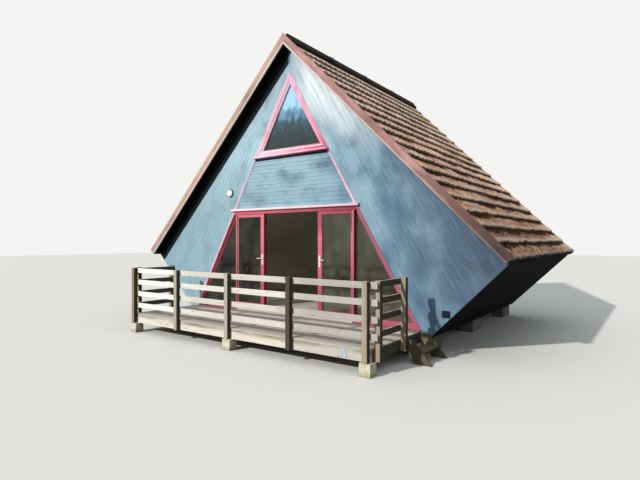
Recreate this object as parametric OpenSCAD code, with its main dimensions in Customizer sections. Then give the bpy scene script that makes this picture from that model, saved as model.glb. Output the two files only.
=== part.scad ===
// A-frame cabin with a raised timber deck.
// X runs across the front, Y runs from the deck towards the rear wall, Z is up and the ground is at 0.

/* [Shell] */
// Half the width across the corners where the roof meets the leaning side walls
eave_half = 4488; // [4200:1:4800]
// Height of those corners above the ground
eave_z = 1637; // [1560:1:1720]
// Depth from the outer face of the front wall to the outer face of the rear wall
cabin_depth = 5620; // [5000:1:6600]
// Thickness of the front and rear walls
end_wall_t = 150; // [120:1:200]
// Thickness of the leaning side walls
side_wall_t = 120; // [90:1:150]
// Height of the feet of the walls above the ground
wall_foot_z = 300; // [270:1:330]
// Height of the indoor floor above the ground
floor_z = 520; // [490:1:528]
// Width of the foundation piers
foundation_w = 300; // [200:1:400]
// Length of the foundation piers
foundation_l = 620; // [400:1:800]
// Distance from the face of the side walls to the foundation piers
foundation_in = 60; // [30:1:120]
// Distance from the end walls to the foundation piers
foundation_end = 80; // [30:1:160]

/* [Roof] */
// Thickness of each roof panel
roof_panel_t = 75; // [60:1:100]
// Height of a tile course at its nose
tile_nose_h = 47; // [38:1:60]
// Height of a tile course at its tail
tile_tail_h = 22; // [15:1:30]
// Number of tile courses from eave to ridge
tile_courses = 17; // [14:1:20]
// Reach of the roof in front of the front wall
front_overhang = 237; // [180:1:320]
// Reach of the roof behind the rear wall
rear_overhang = 590; // [300:1:800]
// Width of the front barge boards
barge_w = 160; // [140:1:200]
// Width of the rear barge boards, which end below the tiles
rear_barge_w = 95; // [80:1:100]
// Thickness of the barge boards
barge_t = 30; // [22:1:40]
// Half the width of the ridge cap
cap_half = 110; // [90:1:130]
// Height of the ridge cap's upright sides
cap_side_h = 75; // [50:1:95]
// Height of the ridge cap's crest above the meeting tiles
cap_rise = 127; // [110:1:150]
// Distance from the barge boards to the front end of the ridge cap
cap_set_back = 100; // [40:1:160]

/* [Red triangle] */
// Distance from the ridge line of the soffits down to the point where the two sloping red lines meet
triangle_drop = 518; // [450:1:600]
// Distance at the foot of the wall from the red lines to the wall's corners
triangle_in = 87; // [60:1:200]
// Height of the underside of the upper window's frame
window_foot_z = 3860; // [3750:1:3950]
// Width of the upper window's frame bars
window_bar_w = 130; // [100:1:150]
// Width of the window's inner sash bars
sash_w = 55; // [40:1:70]
// How far the sash bars are set back from the front of the window's frame
sash_step = 22; // [10:1:40]
// Depth of the red frames from front to back
frame_depth = 140; // [120:1:150]
// How far the red frames stand proud of the wall
frame_proud = 20; // [10:1:30]
// Thickness of the sealed glass panes
glass_t = 20; // [12:1:28]
// How far each end of the sill board passes the window's frame
sill_past = 2; // [0:1:40]
// Thickness of the sill board
sill_t = 35; // [25:1:45]
// Reach of the sill board from the wall
sill_reach = 110; // [80:1:140]
// Width of the red strips from the window down to the deck
strip_w = 50; // [40:1:60]
// Height of the top of the ledge over the doors
ledge_top_z = 2722; // [2690:1:2760]
// Thickness of the ledge
ledge_t = 45; // [30:1:60]
// How far each end of the ledge passes the red lines
ledge_past = 44; // [10:1:60]
// Reach of the ledge from the wall
ledge_reach = 70; // [50:1:100]

/* [Door screen] */
// Width of the sloping side bars of the screen
jamb_w = 106; // [90:1:115]
// How far the inner halves of the sloping side bars are set back
jamb_step = 60; // [40:1:75]
// Height of the head bar
head_h = 81; // [70:1:95]
// Height of the threshold and of the bars below the side lights above the deck
threshold_h = 130; // [122:1:140]
// Width of the side lights at their upper ends
side_light_top = 6; // [5:1:20]
// Distance from the inner halves of the sloping side bars back to the glass of the side lights
side_light_set = 10; // [5:1:20]
// Width of the upright posts
post_w = 36; // [30:1:50]
// How far a shut leaf laps over its fixed pane
leaf_lap = 92; // [70:1:96]
// Width of the inner upright bars of the panes and leaves
stile_w = 90; // [75:1:100]
// Width of the outer upright bars of the panes and leaves, beside the posts
outer_stile_w = 22; // [18:1:40]
// Height of the top bars of the panes and leaves
pane_head_h = 52; // [45:1:80]
// Height of the bottom bars of the panes and leaves
pane_foot_h = 35; // [30:1:60]
// Thickness of the panes and leaves
leaf_t = 40; // [34:1:44]
// Running gap around each sliding leaf
leaf_gap = 6; // [5:0.5:8]
// Distance from the front of the frames to the front of the sliding leaves
leaf_set_back = 14; // [10:1:20]
// Gap from the sliding leaves to the fixed panes behind them
fixed_gap = 8; // [6:1:10]
// Radius of the rollers under each leaf
roller_r = 14; // [12:1:16]
// Distance from the sides of a leaf to its rollers
roller_inset = 130; // [100:1:200]
// Height of the handles above the indoor floor
handle_height = 1080; // [950:1:1150]
// Height of the handle's back plate
plate_h = 240; // [200:1:280]
// Width of the handle's back plate
plate_w = 42; // [34:1:48]
// Thickness of the handle's back plate
plate_t = 8; // [6:1:12]
// Length of the handle's lever
lever_length = 125; // [100:1:140]
// Radius of the handle's lever
lever_r = 9; // [7:1:11]
// Distance from the handle's back plate to the middle of the lever
neck_length = 38; // [30:1:50]

/* [Deck] */
// Height of the deck's surface above the ground
deck_z = 400; // [385:1:410]
// Distance from the red lines at the deck to the sides of the deck
deck_in = 25; // [0:1:60]
// Depth of the deck from the wall to its front edge
deck_depth = 1750; // [1650:1:1900]
// Thickness of the deck boards
board_t = 28; // [22:1:32]
// Number of deck boards
board_count = 14; // [12:1:16]
// Gap between the deck boards
board_gap = 5; // [3:1:8]
// Height of the deck's edge beams and joists
beam_h = 167; // [140:1:180]
// Thickness of the fascia boards
fascia_t = 28; // [22:1:34]
// Width of the joists and edge beams
joist_w = 45; // [38:1:60]
// Number of joists
joist_count = 11; // [9:1:13]
// Side of the square railing posts
rail_post_w = 90; // [80:1:100]
// Height of the railing posts above the deck
rail_post_h = 1005; // [950:1:1100]
// Distance from the side of the deck to the middle of the outer posts and piers
outer_post_in = 69; // [50:1:120]
// Height of the rails
rail_h = 100; // [80:1:115]
// Thickness of the rails
rail_t = 35; // [25:1:45]
// Distance from the top of the posts down to the upper rail
rail_drop = 13; // [5:1:40]
// Distance from one rail to the next
rail_pitch = 252; // [235:1:265]
// Number of rails
rail_count = 4; // [3:1:4]
// How far the front rails pass the corners of the deck
rail_past = 104; // [95:1:120]
// Distance from the wall to the back of the post beside the steps
step_gap = 703; // [680:1:760]
// Distance from the front edge of the deck to the first side post
side_post_set = 94; // [80:1:110]
// Side of the square piers
pier_w = 190; // [160:1:220]
// Distance from the front of the posts to the front of the piers
pier_in = 10; // [0:1:30]

/* [Steps] */
// Thickness of the stringers and treads
step_t = 35; // [28:1:42]
// Distance from the wall to the rear stringer
step_wall_gap = 20; // [10:1:40]
// Distance from the deck's surface down to the top of the stringers
stringer_drop = 20; // [0:1:28]
// Height of a stringer where it meets the deck
stringer_h = 125; // [100:1:160]
// Length of the foot of a stringer
stringer_foot = 286; // [200:1:320]
// Length of the level top of a stringer
stringer_top = 179; // [150:1:200]
// Run of the sloping edge of a stringer
stringer_run = 326; // [300:1:360]
// Depth of a tread
tread_d = 270; // [240:1:290]
// How far the nose of a tread passes the stringer
tread_nose = 36; // [20:1:45]

/* [Fittings] */
// Distance from the end of the ledge to the middle of the lamp
lamp_past = 59; // [40:1:160]
// Height of the middle of the lamp above the ledge
lamp_rise = 382; // [300:1:460]
// Radius of the lamp
lamp_r = 98; // [80:1:110]
// Width of the lamp's flat rim
lamp_rim = 12; // [8:1:20]
// Thickness of the lamp's base
lamp_base_t = 22; // [16:1:30]
// Height of the lamp's dome
lamp_dome_h = 50; // [40:1:60]
// Distance from the edge of the wall to the middle of the vent hood
vent_in = 146; // [125:1:200]
// Height of the middle of the vent hood above the ground
vent_z = 745; // [735:1:800]
// Width of the vent hood
vent_w = 130; // [100:1:150]
// Height of the vent hood
vent_h = 100; // [80:1:110]
// Reach of the vent hood from the wall
vent_reach = 45; // [30:1:60]

/* [Hidden] */
// Clearance at sloping seats and under the rollers
seat = 0.3;
// The roof and the side walls both lean at 45 degrees.
slant = sqrt(0.5);
apex_z = eave_z + eave_half;
triangle_apex_z = apex_z - triangle_drop;
// Rise of the red lines, and the level width of a sloping bar for each unit of its own width
red_slope = (triangle_apex_z - wall_foot_z) / (shell_half(wall_foot_z) - triangle_in);
red_lean = sqrt(1 + red_slope * red_slope) / red_slope;
// The middle of the whole outline lies over the origin.
deck_front = deck_depth + rail_post_w;
roof_front = -front_overhang;
roof_back = cabin_depth + rear_overhang;
wall_y = (deck_front - roof_back) / 2;
panel_edge = roof_panel_t * slant;
tile_run = (eave_half + panel_edge) / slant;
tile_gauge = tile_run / tile_courses;
tile_peak_z = apex_z + (roof_panel_t + tile_tail_h) / slant;
frame_front = -frame_proud;
ledge_foot_z = ledge_top_z - ledge_t;
head_foot_z = ledge_foot_z - head_h;
threshold_z = deck_z + threshold_h;
post_out = round(red_inner(head_foot_z, jamb_w) - side_light_top);
post_in = post_out - post_w;
// Inner edge of the fixed panes and of the open leaves, which slide to the middle
pane_x = (post_in - leaf_lap) / 2;
leaf_front = frame_front + leaf_set_back;
fixed_front = leaf_front + leaf_t + fixed_gap;
leaf_foot_z = threshold_z + leaf_gap;
leaf_head_z = head_foot_z - leaf_gap;
leaf_outer = post_in - leaf_gap;
glass_inset = (frame_depth - glass_t) / 2;
ledge_half = red_half(ledge_foot_z) + ledge_past;
sill_half = red_half(window_foot_z) + sill_past;
deck_half = round(red_half(deck_z) - deck_in);
beam_top_z = deck_z - board_t;
beam_foot_z = beam_top_z - beam_h;
bay = (deck_half - outer_post_in) / 2;
stringer_z = deck_z - stringer_drop;
// Heights of the rails' feet above the deck
rail_feet = [for (i = [0 : rail_count - 1]) rail_post_h - rail_drop - rail_h - i * rail_pitch];

// Half the width between the outer faces of the side walls at a height
function shell_half(z) = eave_half - (eave_z - z);
// Half the width between the outer edges of the red lines at a height
function red_half(z) = (triangle_apex_z - z) / red_slope;
// The same, a bar's width further in
function red_inner(z, w) = red_half(z) - w * red_lean;
// A point on the right roof slope, from the eave upwards and outwards from the panel
function on_roof(s, h) = [
    eave_half + panel_edge + (h - s) * slant,
    eave_z + panel_edge + (h + s) * slant
];
// Height of the uppermost tile course at a distance from the middle
function top_course_z(x) =
    let (nose = on_roof(tile_run - tile_gauge, tile_nose_h))
    tile_peak_z + (nose[1] - tile_peak_z) * x / nose[0];

// Moves a piece from the wall's frame to the origin of the whole cabin
module placed() {
    translate([0, wall_y, 0]) children();
}

// Turns a piece of the right side into its twin on the left
module on_side(side) {
    mirror([side > 0 ? 0 : 1, 0, 0]) children();
}

// A plate with its outline in X and Z and its thickness along Y
module plate(outline, y, t) {
    translate([0, y + t, 0])
        rotate([90, 0, 0])
            linear_extrude(height = t) polygon(outline);
}

// A box between two corners
module box(low, high) {
    translate(low) cube(high - low);
}

module red() {
    color("#b52a40") children();
}

module blue() {
    color("#7d9fb3") children();
}

module timber() {
    color("#d8d2c2") children();
}

module glass() {
    color("#7f9fa8", 0.4) children();
}

module foundation_piers() {
    x = shell_half(wall_foot_z) - foundation_in - foundation_w;
    last = cabin_depth - foundation_end - foundation_l;
    color("#8d8b85") placed() for (side = [-1, 1]) for (y = [foundation_end, last / 2 + foundation_end / 2, last])
        on_side(side) translate([x, y, 0]) cube([foundation_w, foundation_l, wall_foot_z]);
}

module floor() {
    t = (side_wall_t + seat) / slant;
    foot = shell_half(wall_foot_z) - t;
    top = shell_half(floor_z) - t;
    outline = [[-foot, wall_foot_z], [foot, wall_foot_z], [top, floor_z], [-top, floor_z]];
    color("#cfc8b8") placed() plate(outline, end_wall_t, cabin_depth - 2 * end_wall_t);
}

module side_wall(side) {
    t = side_wall_t / slant;
    foot = shell_half(wall_foot_z);
    // The wall's upper edge lies in the plane of the roof's underside.
    outline = [
        [foot, wall_foot_z],
        [eave_half, eave_z],
        [eave_half - t / 2, eave_z + t / 2],
        [foot - t, wall_foot_z]
    ];
    color("#2b2a28") placed() on_side(side) plate(outline, end_wall_t, cabin_depth - 2 * end_wall_t);
}

module side_wall_left() {
    side_wall(-1);
}

module side_wall_right() {
    side_wall(1);
}

module roof_panel(side) {
    outline = [
        [0, apex_z],
        [eave_half, eave_z],
        on_roof(0, 0),
        [0, apex_z + roof_panel_t / slant]
    ];
    y = roof_front + barge_t;
    color("#2b2a28") placed() on_side(side) plate(outline, y, roof_back - barge_t - y);
}

module roof_panel_left() {
    roof_panel(-1);
}

module roof_panel_right() {
    roof_panel(1);
}

module roof_tiles(side) {
    y = roof_front + barge_t;
    steps = [
        for (i = [0 : tile_courses - 1]) each [
            on_roof(i * tile_gauge, tile_nose_h),
            if (i < tile_courses - 1) on_roof((i + 1) * tile_gauge, tile_tail_h)
        ]
    ];
    outline = concat(
        [on_roof(0, 0)],
        steps,
        [[0, tile_peak_z], [0, apex_z + roof_panel_t / slant]]
    );
    color("#8a6a58") placed() on_side(side) plate(outline, y, roof_back - barge_t - y);
}

module roof_tiles_left() {
    roof_tiles(-1);
}

module roof_tiles_right() {
    roof_tiles(1);
}

module ridge_cap() {
    y = roof_front + barge_t + cap_set_back;
    lift = seat / slant;
    side_z = top_course_z(cap_half) + lift;
    outline = [
        [0, tile_peak_z + lift],
        [cap_half, side_z],
        [cap_half, side_z + cap_side_h],
        [0, tile_peak_z + cap_rise],
        [-cap_half, side_z + cap_side_h],
        [-cap_half, side_z]
    ];
    color("#3a2f2a") placed() plate(outline, y, roof_back - barge_t - y);
}

module barge(side, y, w) {
    edge = w * slant;
    outline = [
        [0, apex_z],
        [eave_half, eave_z],
        [eave_half + edge, eave_z + edge],
        [0, apex_z + w / slant]
    ];
    color("#8f6f66") placed() on_side(side) plate(outline, y, barge_t);
}

module barge_front_left() {
    barge(-1, roof_front, barge_w);
}

module barge_front_right() {
    barge(1, roof_front, barge_w);
}

module barge_rear_left() {
    barge(-1, roof_back - barge_t, rear_barge_w);
}

module barge_rear_right() {
    barge(1, roof_back - barge_t, rear_barge_w);
}

module front_wing(side) {
    outline = [
        [0, apex_z],
        [eave_half, eave_z],
        [shell_half(wall_foot_z), wall_foot_z],
        [red_inner(wall_foot_z, -seat), wall_foot_z],
        [0, triangle_apex_z + seat * red_lean * red_slope]
    ];
    blue() placed() on_side(side) plate(outline, 0, end_wall_t);
}

module front_wall_left() {
    front_wing(-1);
}

module front_wall_right() {
    front_wing(1);
}

// The red triangle's width between two heights, a bar's width in from its edges
function red_band(low, high, w) = [
    [-red_inner(low, w), low],
    [red_inner(low, w), low],
    [red_inner(high, w), high],
    [-red_inner(high, w), high]
];

module front_wall_middle() {
    blue() placed() plate(red_band(ledge_top_z, window_foot_z, 0), 0, end_wall_t);
}

// The upper window's outline, its edges a bar's width in from the red lines and the sill
function window_outline(w) = [
    [-red_inner(window_foot_z + w, w), window_foot_z + w],
    [red_inner(window_foot_z + w, w), window_foot_z + w],
    [0, triangle_apex_z - w * red_lean * red_slope]
];

module rear_wall() {
    shell = [
        [0, apex_z],
        [eave_half, eave_z],
        [shell_half(wall_foot_z), wall_foot_z],
        [-shell_half(wall_foot_z), wall_foot_z],
        [-eave_half, eave_z]
    ];
    y = cabin_depth - end_wall_t;
    blue() placed() difference() {
        plate(shell, y, end_wall_t);
        plate(window_outline(-seat), y - 1, end_wall_t + 2);
    }
}

// A frame whose inner sash bars are set back, with the step's depth starting at its own Y
module window_ring(y, step_y) {
    red() placed() difference() {
        plate(window_outline(0), y, frame_depth);
        plate(window_outline(window_bar_w), y - 1, frame_depth + 2);
        plate(window_outline(window_bar_w - sash_w), step_y, sash_step + 1);
    }
}

module window_pane(y) {
    glass() placed() plate(window_outline(window_bar_w + seat), y + glass_inset, glass_t);
}

module window_frame() {
    window_ring(frame_front, frame_front - 1);
}

module window_glass() {
    window_pane(frame_front);
}

module rear_window_frame() {
    face = cabin_depth + frame_proud;
    window_ring(face - frame_depth, face - sash_step);
}

module rear_window_glass() {
    window_pane(cabin_depth + frame_proud - frame_depth);
}

module window_sill() {
    red() placed() box(
        [-sill_half, -sill_reach, window_foot_z - sill_t],
        [sill_half, 0, window_foot_z]
    );
}

module red_strips() {
    low = ledge_top_z;
    high = window_foot_z - sill_t;
    outline = [
        [red_inner(low, strip_w), low],
        [red_half(low), low],
        [red_half(high), high],
        [red_inner(high, strip_w), high]
    ];
    red() placed() for (side = [-1, 1]) on_side(side) plate(outline, frame_front, frame_proud);
}

module ledge() {
    red() placed() {
        plate(red_band(ledge_foot_z, ledge_top_z, 0), 0, end_wall_t);
        box([-ledge_half, -ledge_reach, ledge_foot_z], [ledge_half, 0, ledge_top_z]);
    }
}

// A sloping bar of the screen, a given width in from the red line
function jamb_bar(w) = [
    [red_inner(deck_z, w), deck_z],
    [red_half(deck_z), deck_z],
    [red_half(ledge_foot_z), ledge_foot_z],
    [red_inner(ledge_foot_z, w), ledge_foot_z]
];

// The outer half stands forward of the inner half.
module door_jamb(side) {
    red() placed() on_side(side) {
        plate(jamb_bar(strip_w), frame_front, frame_depth);
        plate(jamb_bar(jamb_w), frame_front + jamb_step, frame_depth - jamb_step);
    }
}

module door_jamb_left() {
    door_jamb(-1);
}

module door_jamb_right() {
    door_jamb(1);
}

module door_head() {
    red() placed() {
        plate(red_band(head_foot_z, ledge_foot_z, strip_w + seat), frame_front, jamb_step);
        plate(red_band(head_foot_z, ledge_foot_z, jamb_w + seat), frame_front, frame_depth);
    }
}

module threshold() {
    color("#c9c4b6") placed() {
        plate(red_band(wall_foot_z, deck_z, 0), 0, end_wall_t);
        box([-post_in, frame_front, deck_z], [post_in, end_wall_t, threshold_z]);
    }
}

module door_posts() {
    y = frame_front + frame_depth;
    red() placed() for (side = [-1, 1]) on_side(side)
        box([post_in, frame_front, deck_z], [post_out, y, head_foot_z]);
}

// The space between a post and the sloping bar of a given width, between two heights
function side_light(low, high, w) = [
    [post_out, low],
    [red_inner(low, w + seat), low],
    [red_inner(high, w + seat), high],
    [post_out, high]
];

module side_light_rails() {
    red() placed() for (side = [-1, 1]) on_side(side) {
        plate(side_light(deck_z, threshold_z, strip_w), frame_front, jamb_step);
        plate(side_light(deck_z, threshold_z, jamb_w), frame_front, frame_depth);
    }
}

module side_light_glass() {
    y = frame_front + jamb_step + side_light_set;
    glass() placed() for (side = [-1, 1]) on_side(side)
        plate(side_light(threshold_z, head_foot_z, jamb_w), y, glass_t);
}

// A glazed panel's bars, standing between two edges and two heights
module pane_frame(inner, outer, foot, head, y) {
    difference() {
        box([inner, y, foot], [outer, y + leaf_t, head]);
        box(
            [inner + stile_w, y - 1, foot + pane_foot_h],
            [outer - outer_stile_w, y + leaf_t + 1, head - pane_head_h]
        );
    }
}

module pane_glass(inner, outer, foot, head, y) {
    inset = (leaf_t - glass_t) / 2;
    box(
        [inner + stile_w, y + inset, foot + pane_foot_h],
        [outer - outer_stile_w, y + inset + glass_t, head - pane_head_h]
    );
}

module fixed_frames() {
    red() placed() for (side = [-1, 1]) on_side(side)
        pane_frame(pane_x, post_in, threshold_z, head_foot_z, fixed_front);
}

module fixed_glass() {
    glass() placed() for (side = [-1, 1]) on_side(side)
        pane_glass(pane_x, post_in, threshold_z, head_foot_z, fixed_front);
}

module leaf_roller(x) {
    translate([x, leaf_front + leaf_t / 4, threshold_z + roller_r + seat])
        rotate([-90, 0, 0]) cylinder(h = leaf_t / 2, r = roller_r, $fn = 32);
}

module door_leaf(side) {
    red() placed() on_side(side) {
        pane_frame(pane_x, leaf_outer, leaf_foot_z, leaf_head_z, leaf_front);
        leaf_roller(pane_x + roller_inset);
        leaf_roller(leaf_outer - roller_inset);
    }
}

module door_leaf_glass(side) {
    glass() placed() on_side(side)
        pane_glass(pane_x, leaf_outer, leaf_foot_z, leaf_head_z, leaf_front);
}

// A long back plate with round ends, and a round lever on a neck that bends into it
module door_handle(side) {
    plate_r = plate_w / 2;
    plate_up = plate_h * 0.4 - plate_r;
    plate_down = plate_h * 0.6 - plate_r;
    color("#e9e9e6") placed() on_side(side)
        translate([pane_x + stile_w / 2, leaf_front - plate_t, floor_z + handle_height]) {
            rotate([-90, 0, 0]) {
                translate([-plate_r, -plate_up, 0]) cube([plate_w, plate_up + plate_down, plate_t]);
                translate([0, -plate_up, 0]) cylinder(h = plate_t, r = plate_r, $fn = 48);
                translate([0, plate_down, 0]) cylinder(h = plate_t, r = plate_r, $fn = 48);
                translate([0, 0, -neck_length]) cylinder(h = neck_length, r = lever_r, $fn = 32);
            }
            translate([0, -neck_length, 0]) {
                sphere(r = lever_r, $fn = 32);
                rotate([0, 90, 0]) cylinder(h = lever_length, r = lever_r, $fn = 32);
                translate([lever_length, 0, 0]) sphere(r = lever_r, $fn = 32);
            }
        }
}

module door_left() {
    door_leaf(-1);
}

module door_left_glass() {
    door_leaf_glass(-1);
}

module door_left_handle() {
    door_handle(-1);
}

module door_right() {
    door_leaf(1);
}

module door_right_glass() {
    door_leaf_glass(1);
}

module door_right_handle() {
    door_handle(1);
}

// Two edge beams with joists hung between them
module deck_frame() {
    x = deck_half - fascia_t;
    front = -deck_depth + fascia_t;
    step = (2 * x - joist_w) / (joist_count - 1);
    color("#a39a86") placed() {
        for (y = [front, -joist_w]) translate([-x, y, beam_foot_z]) cube([2 * x, joist_w, beam_h]);
        for (i = [0 : joist_count - 1]) box(
            [-x + i * step, front + joist_w + seat, beam_foot_z],
            [-x + i * step + joist_w, -joist_w - seat, beam_top_z]
        );
    }
}

module deck_boards() {
    pitch = (deck_depth + frame_front + board_gap) / board_count;
    timber() placed() for (i = [0 : board_count - 1])
        translate([-deck_half, -deck_depth + i * pitch, beam_top_z])
            cube([2 * deck_half, pitch - board_gap, board_t]);
}

module deck_fascia() {
    timber() placed() {
        box([-deck_half, -deck_depth, beam_foot_z], [deck_half, -deck_depth + fascia_t, beam_top_z]);
        for (side = [-1, 1]) on_side(side) box(
            [deck_half - fascia_t, -deck_depth + fascia_t + seat, beam_foot_z],
            [deck_half, 0, beam_top_z]
        );
    }
}

module deck_piers() {
    color("#d9d2ae") placed() for (y = [-deck_front + pier_in, -pier_w]) for (i = [-1 : 1])
        translate([i * 2 * bay - pier_w / 2, y, 0]) cube([pier_w, pier_w, beam_foot_z]);
}

module rail_post(x, y) {
    translate([x, y, beam_foot_z]) cube([rail_post_w, rail_post_w, deck_z + rail_post_h - beam_foot_z]);
}

module deck_posts() {
    timber() placed() {
        for (i = [-2 : 2]) rail_post(i * bay - rail_post_w / 2, -deck_front);
        for (side = [-1, 1]) on_side(side) {
            rail_post(deck_half, -deck_depth + side_post_set);
            rail_post(deck_half, -step_gap - rail_post_w);
        }
    }
}

module front_rails() {
    x = deck_half + rail_past;
    timber() placed() for (foot = rail_feet)
        box(
            [-x, -deck_depth, deck_z + foot],
            [x, -deck_depth + rail_t, deck_z + foot + rail_h]
        );
}

module side_rails() {
    timber() placed() for (side = [-1, 1]) for (foot = rail_feet) on_side(side)
        box(
            [deck_half - rail_t, -deck_depth + rail_t, deck_z + foot],
            [deck_half, -step_gap, deck_z + foot + rail_h]
        );
}

module step_stringers() {
    outline = [
        [deck_half, stringer_z],
        [deck_half + stringer_top, stringer_z],
        [deck_half + stringer_top + stringer_run, 0],
        [deck_half + stringer_top + stringer_run - stringer_foot, 0],
        [deck_half, stringer_z - stringer_h]
    ];
    timber() placed() for (side = [-1, 1]) on_side(side) {
        plate(outline, -step_wall_gap - step_t, step_t);
        plate(outline, -step_gap, step_t);
    }
}

module step_treads() {
    z = deck_z / 2;
    nose = deck_half + stringer_top + stringer_run * (1 - z / stringer_z) + tread_nose;
    timber() placed() for (side = [-1, 1]) on_side(side)
        box(
            [nose - tread_d, -step_gap + step_t, z - step_t],
            [nose, -step_wall_gap - step_t, z]
        );
}

// A round base with a domed shade
module wall_lamp() {
    color("#f2f2ee") placed() translate([-ledge_half - lamp_past, 0, ledge_top_z + lamp_rise])
        rotate([90, 0, 0]) rotate_extrude($fn = 48) {
            square([lamp_r, lamp_base_t]);
            translate([0, lamp_base_t]) intersection() {
                circle(r = lamp_r - lamp_rim, $fn = 48);
                square([lamp_r, lamp_dome_h]);
            }
        }
}

// The hood's front leans back to the wall at its upper edge
module vent_hood() {
    x = shell_half(vent_z) - vent_in - vent_w / 2;
    color("#1f3547") placed() translate([x, 0, vent_z - vent_h / 2])
        rotate([90, 0, 90]) linear_extrude(height = vent_w)
            polygon([[0, 0], [-vent_reach, 0], [-vent_reach / 2, vent_h], [0, vent_h]]);
}

foundation_piers();
floor();
side_wall_left();
side_wall_right();
roof_panel_left();
roof_panel_right();
roof_tiles_left();
roof_tiles_right();
ridge_cap();
barge_front_left();
barge_front_right();
barge_rear_left();
barge_rear_right();
front_wall_left();
front_wall_right();
front_wall_middle();
rear_wall();
window_frame();
window_glass();
window_sill();
rear_window_frame();
rear_window_glass();
red_strips();
ledge();
door_jamb_left();
door_jamb_right();
door_head();
threshold();
door_posts();
side_light_rails();
side_light_glass();
fixed_frames();
fixed_glass();
door_left();
door_left_glass();
door_left_handle();
door_right();
door_right_glass();
door_right_handle();
deck_frame();
deck_boards();
deck_fascia();
deck_piers();
deck_posts();
front_rails();
side_rails();
step_stringers();
step_treads();
wall_lamp();
vent_hood();
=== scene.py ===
"""Looks of the A-frame cabin: boards, tiles, paint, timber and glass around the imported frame."""

import math
import random

import bmesh
import bpy
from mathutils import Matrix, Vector


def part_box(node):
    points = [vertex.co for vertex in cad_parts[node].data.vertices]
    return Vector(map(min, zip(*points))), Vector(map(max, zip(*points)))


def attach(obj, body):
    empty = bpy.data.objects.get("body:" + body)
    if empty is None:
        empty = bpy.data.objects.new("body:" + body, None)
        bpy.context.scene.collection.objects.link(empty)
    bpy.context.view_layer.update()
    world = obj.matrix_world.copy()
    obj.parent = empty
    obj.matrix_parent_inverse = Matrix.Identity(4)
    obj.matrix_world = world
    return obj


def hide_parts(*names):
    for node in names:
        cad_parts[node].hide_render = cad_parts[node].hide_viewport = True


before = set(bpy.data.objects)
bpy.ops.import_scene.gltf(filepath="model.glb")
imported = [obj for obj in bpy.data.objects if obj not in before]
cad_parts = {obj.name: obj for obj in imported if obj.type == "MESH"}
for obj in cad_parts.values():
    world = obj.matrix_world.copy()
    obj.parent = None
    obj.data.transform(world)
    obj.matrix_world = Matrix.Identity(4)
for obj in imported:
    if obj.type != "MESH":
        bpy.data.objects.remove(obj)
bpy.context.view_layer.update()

# Main sizes of the cabin in metres, as in the frame
WALL_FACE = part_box("front_wall_left")[0].y
REAR_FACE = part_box("rear_wall")[1].y
END_WALL = 0.150
EAVE_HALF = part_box("rear_wall")[1].x
APEX_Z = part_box("rear_wall")[1].z
EAVE_Z = APEX_Z - EAVE_HALF
WALL_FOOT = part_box("rear_wall")[0].z
FLOOR_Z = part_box("floor")[1].z
SIDE_WALL = 0.120
PANEL = 0.075
LEDGE_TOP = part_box("ledge")[1].z
WINDOW_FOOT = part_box("window_frame")[0].z
TRIANGLE_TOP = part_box("window_frame")[1].z
RED_HALF_AT_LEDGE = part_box("front_wall_middle")[1].x
ROOF_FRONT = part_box("roof_panel_left")[0].y
ROOF_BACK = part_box("roof_panel_left")[1].y

# The red lines rise at 60 degrees, and the roof and side walls lean at 45
RED_SLOPE = (TRIANGLE_TOP - LEDGE_TOP) / RED_HALF_AT_LEDGE
RED_SIN = 0.866
RED_COS = 0.5
SLANT = math.sqrt(0.5)

# Boards and tiles of this cabin in metres
CLADDING_W = 0.095
CLADDING_T = 0.012
CLADDING_GAP = 0.003
CLADDING_EASE = 0.0022
PAINTED_GAP = 0.0018
MIDDLE_W = 0.085
SIDE_BOARD_W = 0.135
SIDE_BOARD_T = 0.014
SIDE_BOARD_GAP = 0.005
LINING_W = 0.120
LINING_T = 0.010
LINING_GAP = 0.002
BOARD_LENGTH = 3.9
REAR_BOARD_LENGTH = 4.2
EDGE_ROOM = 0.002
TILE_WAVE = 0.188
TILE_COURSES = 17

# The deck's timbers, as in the frame
DECK_BOARDS = 14
DECK_GAP = 0.005
JOISTS = 11
JOIST_W = 0.045
RAILS = 4
RAIL_H = 0.100
RAIL_PITCH = 0.252
POSTS = 5
POST_PITCH = 1.456

SIDES = ((-1, "left"), (1, "right"))
LEVEL = Vector((1, 0))


def paint(shade):
    """Turns a painter's sRGB hex value into the linear colour that a shader reads."""
    value = int(shade.lstrip("#"), 16)
    parts = [((value >> bits) & 255) / 255 for bits in (16, 8, 0)]
    linear = [p / 12.92 if p <= 0.04045 else ((p + 0.055) / 1.055) ** 2.4 for p in parts]
    return (*linear, 1.0)


def add(tree, kind, feeds=(), out=None, **settings):
    """Adds a shader node, sets it up, and feeds it with values, hex colours or other nodes' outputs.

    The feeds go to its open inputs in order, or by name where they are a dictionary. It gives back
    the output that is asked for, or else the first open one.
    """
    node = tree.nodes.new("ShaderNode" + kind)
    for key, value in settings.items():
        setattr(node, key, value)
    if not isinstance(feeds, dict):
        feeds = dict(zip([i for i, socket in enumerate(node.inputs) if socket.enabled], feeds))
    for key, value in feeds.items():
        if isinstance(value, bpy.types.NodeSocket):
            tree.links.new(value, node.inputs[key])
        else:
            node.inputs[key].default_value = paint(value) if isinstance(value, str) else value
    if out:
        return node.outputs[out]
    return next((socket for socket in node.outputs if socket.enabled), None)


def new_finish(name):
    """Starts a material and gives it back with its empty node tree."""
    finish = bpy.data.materials.new(name)
    finish.use_nodes = True
    finish.node_tree.nodes.clear()
    return finish, finish.node_tree


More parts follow.
